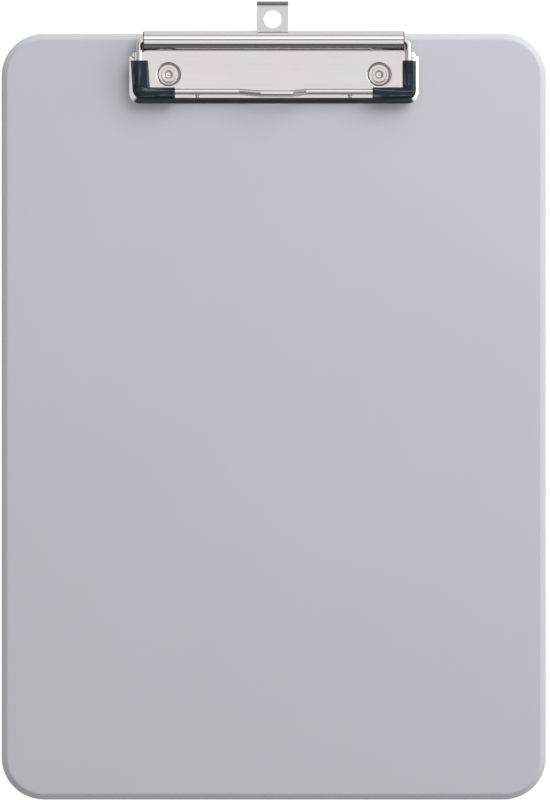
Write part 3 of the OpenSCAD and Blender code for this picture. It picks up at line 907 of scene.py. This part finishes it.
def make_sleeve(side, material):
    """A moulded L over one of the wire's corners: a leg, a rounded corner and a bar, lightly creased."""
    leg_w, bar_w = SLEEVE_LEG_W[side], 2 * SLEEVE_R
    mid = LEG_X + SLEEVE_OUT - (leg_w - bar_w) / 2
    inner_x = mid - leg_w / 2
    bar_y = -BAIL_REACH - SLEEVE_FRONT
    inner_y = bar_y + SLEEVE_R
    bar_end = LEG_X - SLEEVE_BAR_L
    section = sleeve_section()
    leg_len = -SLEEVE_TOP - inner_y

    def folds(a, s):
        """Soft lengthwise creases round the section, which shift a little with the length s along the arm."""
        wave = 0.05 * math.cos(5 * a + 0.5 * math.sin(s * 0.5)) + 0.035 * math.cos(9 * a + 1.3 + 0.06 * s)
        return wave + 0.10 * noise.noise(Vector((3 * math.cos(a), 3 * math.sin(a), 0.15 * s + 7 * side)))

    rows = []

    def ring(place, height, s, squeeze=1.0):
        """Adds one section, put in place by a function of t and the height."""
        row = []
        for t, v, a in section:
            grow = folds(a, s)
            tt = 0.5 + (t - 0.5) * squeeze * (1 + 2 * grow / leg_w)
            vv = v * squeeze * (1 + 2 * grow / height)
            row.append(ON_BAIL @ place(tt, vv * height))
        rows.append(row)

    def on_leg(y):
        """Places a section across the leg."""
        lean = SLEEVE_LEAN[side] * ((y - inner_y) / leg_len - 0.5)
        return lambda t, h: Vector((side * (inner_x + t * leg_w + lean), y, h))

    def on_corner(phi):
        """Places a section from the inner corner outwards, at an angle from the leg's side."""
        reach = corner_reach(phi, leg_w, bar_w, SLEEVE_CORNER_R[side])
        lean = -0.5 * SLEEVE_LEAN[side] * math.cos(phi)
        return lambda t, h: Vector(
            (side * (inner_x + lean + t * reach * math.cos(phi)), inner_y - t * reach * math.sin(phi), h))

    def on_bar(x):
        """Places a section across the bar."""
        return lambda t, h: Vector((side * x, inner_y - t * bar_w, h))

    leg_steps, corner_steps, bar_steps = 14, 18, 16
    corner_step_s, corner_s = 0.2, 4
    eased = SLEEVE_END[-1][0]
    for cut, squeeze in SLEEVE_END:
        ring(on_leg(-SLEEVE_TOP - cut), SLEEVE_LEG_H, cut, squeeze)
    for k in range(1, leg_steps + 1):
        y = -SLEEVE_TOP - eased + (inner_y + SLEEVE_TOP + eased) * k / leg_steps
        ring(on_leg(y), SLEEVE_LEG_H, -SLEEVE_TOP - y)
    for k in range(1, corner_steps):
        phi = math.pi / 2 * k / corner_steps
        height = SLEEVE_LEG_H + (bar_w - SLEEVE_LEG_H) * k / corner_steps
        ring(on_corner(phi), height, leg_len + corner_step_s * k)
    for k in range(bar_steps):
        x = inner_x - (inner_x - bar_end - eased) * k / bar_steps
        ring(on_bar(x), bar_w, leg_len + corner_s + inner_x - x)
    for cut, squeeze in reversed(SLEEVE_END):
        ring(on_bar(bar_end + cut), bar_w, leg_len + corner_s + inner_x - bar_end - cut, squeeze)

    def mouth(centre, u):
        """A ring where a cut end closes on the wire."""
        up = Vector((0, 0, 1))
        spokes = [u * math.cos(a) + up * math.sin(a) for _, _, a in section]
        return [ON_BAIL @ (centre + spoke * SLEEVE_BORE_R) for spoke in spokes]

    # the bore goes a little way in from each cut end
    bm = bmesh.new()
    leg_mouth, leg_in = Vector((side * LEG_X, -SLEEVE_TOP, 0)), Vector((0, -SLEEVE_BORE_L, 0))
    bar_mouth, bar_in = Vector((side * bar_end, -BAIL_REACH, 0)), Vector((side * SLEEVE_BORE_L, 0, 0))
    outwards, forwards = Vector((side, 0, 0)), Vector((0, -1, 0))
    rows = [mouth(leg_mouth + leg_in, outwards), mouth(leg_mouth, outwards)] + rows
    rows += [mouth(bar_mouth, forwards), mouth(bar_mouth + bar_in, forwards)]
    made = add_rows(bm, rows)
    bm.faces.new(made[0])
    bm.faces.new(list(reversed(made[-1])))
    name = SIDE_NAMES[side]
    obj = make_piece("sleeve_" + name, bm, material, sharp_deg=50, weld=0.01)
    place_piece(obj, "bail", "sleeve_pvc", "corner_sleeve_" + name)


def make_collar(side, material):
    """A turned collar with a crimp groove round its middle."""
    low, high, r = COLLAR_LO.x, COLLAR_HI.x, COLLAR_HI.z - AXIS.z
    chamfer, depth, wide, narrow = 0.3, 0.35, 0.5, 0.2
    mid = (low + high) / 2
    pairs = [
        (WIRE_R, low), (r - chamfer, low), (r, low + chamfer), (r, mid - wide), (r - depth, mid - narrow),
        (r - depth, mid + narrow), (r, mid + wide), (r, high - chamfer), (r - chamfer, high), (WIRE_R, high),
        (WIRE_R, low),
    ]
    bm = bmesh.new()
    lathe(bm, profile_mm(pairs, [0] + [0.1] * 8 + [0.05, 0]), along_x(side), 56)
    name = SIDE_NAMES[side]
    obj = make_piece("collar_" + name, bm, material, sharp_deg=50)
    place_piece(obj, "bail", "collar_brass", "spring_collar_" + name)


# ---------------------------------------------------------------- studio, in metres

FLOOR_R = 14
FLOOR_DROP = 0.0002
FLOOR_GLOW, FLOOR_GLOW_SEEN = 0.55, 0.86
BACKDROP = 0.93
BAND_MAX = 4.0
# degrees from straight up and strength: front (less than 0) to back, and left to right
FRONT_TO_BACK = [
    (-92, 0.022), (-83, 0.035), (-78, 0.20), (-68, 0.25), (-64, 0.11), (-36, 0.12), (-30, 0.95), (4, 0.95),
    (8, 0.26), (17, 0.26), (22, 1.5), (48, 1.5), (53, 0.5), (63, 0.5), (69, 0.8), (92, 0.8),
]
LEFT_TO_RIGHT = [
    (-92, 0.85), (-76, 0.85), (-70, 0.20), (-46, 0.14), (-28, 0.28), (-22, 0.95), (22, 0.95), (25, 1.4),
    (36, 1.4), (41, 0.12), (55, 0.12), (59, 1.3), (92, 1.35),
]
WHITE = (1.0, 0.995, 0.99, 1)
COOL = (0.86, 1.0, 1.06, 1)


def make_camera():
    """Straight above, as the object is seen, far enough away that nothing leans."""
    distance, frame_height, sensor = 5.0, 0.3322, 36.0
    aim_x, aim_y = 0.0005, 0.0069
    data = bpy.data.cameras.new("Camera")
    data.sensor_width = sensor
    data.lens = sensor * distance / frame_height
    data.clip_end = 50
    camera = bpy.data.objects.new("Camera", data)
    camera.location = (aim_x, aim_y, BOARD_T * MM + distance)
    bpy.context.scene.collection.objects.link(camera)
    bpy.context.scene.camera = camera


def make_floor():
    """A plain pale floor, a little brighter where the camera sees it than in reflections."""
    material, n, shader, where = new_material("floor")
    tone = n.spread(n.noise(where, 3, 2), 0.20, 0.22)
    mixed = n.add("ShaderNodeCombineColor")
    for socket in mixed.inputs:
        n.feed(socket, tone)
    n.feed(shader.inputs["Base Color"], mixed.outputs[0])
    shader.inputs["Roughness"].default_value = 0.9
    shader.inputs["Emission Color"].default_value = (1, 1, 1, 1)
    seen = n.add("ShaderNodeLightPath").outputs["Is Camera Ray"]
    n.feed(shader.inputs["Emission Strength"], n.spread(seen, FLOOR_GLOW, FLOOR_GLOW_SEEN))
    bm = bmesh.new()
    bmesh.ops.create_circle(bm, cap_ends=True, segments=96, radius=FLOOR_R)
    mesh = bpy.data.meshes.new("floor")
    bm.to_mesh(mesh)
    bm.free()
    floor = bpy.data.objects.new("floor", mesh)
    floor.location.z = -FLOOR_DROP
    mesh.materials.append(material)
    bpy.context.scene.collection.objects.link(floor)


def band(n, angle, stops):
    """Light against an angle from straight up, by stops of (degrees, strength)."""
    node = n.add("ShaderNodeFloatCurve")
    n.feed(node.inputs["Value"], n.spread(angle, 0, 1, math.radians(-180), math.radians(180)))
    curve = node.mapping.curves[0]
    points = [((deg + 180) / 360, strength / BAND_MAX) for deg, strength in stops]
    curve.points[0].location = (0, points[0][1])
    curve.points[1].location = (1, points[-1][1])
    for x, y in points:
        curve.points.new(x, y)
    for point in curve.points:
        point.handle_type = "VECTOR"
    node.mapping.update()
    return n.math("MULTIPLY", node.outputs[0], BAND_MAX)


def make_world():
    """Soft bands of light: one set from front to back, and one from left to right for the sides."""
    world = bpy.data.worlds.new("Studio")
    world.use_nodes = True
    bpy.context.scene.world = world
    n = Nodes(world.node_tree)
    split = n.add("ShaderNodeSeparateXYZ")
    n.feed(split.inputs[0], n.add("ShaderNodeTexCoord").outputs["Generated"])
    x, y, z = split.outputs
    to_side_from, to_side_by, overhead = 0.36, 0.54, 0.02
    cool_from, cool_to = math.radians(-74), math.radians(-82)
    front_back = band(n, n.math("ARCTAN2", y, z), FRONT_TO_BACK)
    left_right = band(n, n.math("ARCTAN2", x, z), LEFT_TO_RIGHT)
    wide, deep = n.math("ABSOLUTE", x), n.math("ABSOLUTE", y)
    share = n.math("DIVIDE", wide, n.math("ADD", n.math("ADD", wide, deep), overhead))
    sideways = n.spread(share, 0, 1, to_side_from, to_side_by)
    kept = n.math("MULTIPLY", front_back, n.math("SUBTRACT", 1.0, sideways))
    strength = n.math("ADD", kept, n.math("MULTIPLY", left_right, sideways))
    light = n.add("ShaderNodeBackground")
    low_front = n.spread(n.math("ARCTAN2", y, z), 1, 0, cool_to, cool_from)
    cool = n.math("MULTIPLY", low_front, n.math("SUBTRACT", 1.0, sideways))
    n.feed(light.inputs["Color"], n.mix(cool, WHITE, COOL))
    n.feed(light.inputs["Strength"], strength)
    plain = n.add("ShaderNodeBackground")
    plain.inputs["Color"].default_value = (1, 1, 1, 1)
    plain.inputs["Strength"].default_value = BACKDROP
    swap = n.add("ShaderNodeMixShader")
    n.feed(swap.inputs[0], n.add("ShaderNodeLightPath").outputs["Is Camera Ray"])
    n.feed(swap.inputs[1], light.outputs[0])
    n.feed(swap.inputs[2], plain.outputs[0])
    n.feed(n.add("ShaderNodeOutputWorld").inputs["Surface"], swap.outputs[0])


def soft_light(name, place, size, energy, mirrored):
    """A square panel that faces the part, and is mirrored in bright metal or not."""
    data = bpy.data.lights.new(name, "AREA")
    data.size, data.energy = size, energy
    lamp = bpy.data.objects.new(name, data)
    lamp.location = place
    lamp.rotation_euler = (-lamp.location).to_track_quat("-Z", "Y").to_euler()
    lamp.visible_camera = False
    lamp.visible_glossy = mirrored
    bpy.context.scene.collection.objects.link(lamp)


def make_lights():
    """A key panel behind, and a wide side panel that also shows in the metal."""
    soft_light("Key", (0.42, 0.75, 0.6), size=0.6, energy=8.0, mirrored=False)
    soft_light("Side", (1.5, 0.5, 0.42), size=1.3, energy=9.0, mirrored=True)


make_camera()
make_floor()
make_world()
make_lights()
bpy.context.scene.view_settings.view_transform = "Standard"

make_board()
make_base_plate()
make_hanger_guides()
make_rivets()
make_hanger()
make_wire()
sleeve_material, bush_material = pvc(), bush_plastic()
spring_material, collar_material = drawn_steel(), brass()
for side in (-1, 1):
    make_bush(side, bush_material)
    make_spring(side, spring_material)
    make_sleeve(side, sleeve_material)
    make_collar(side, collar_material)
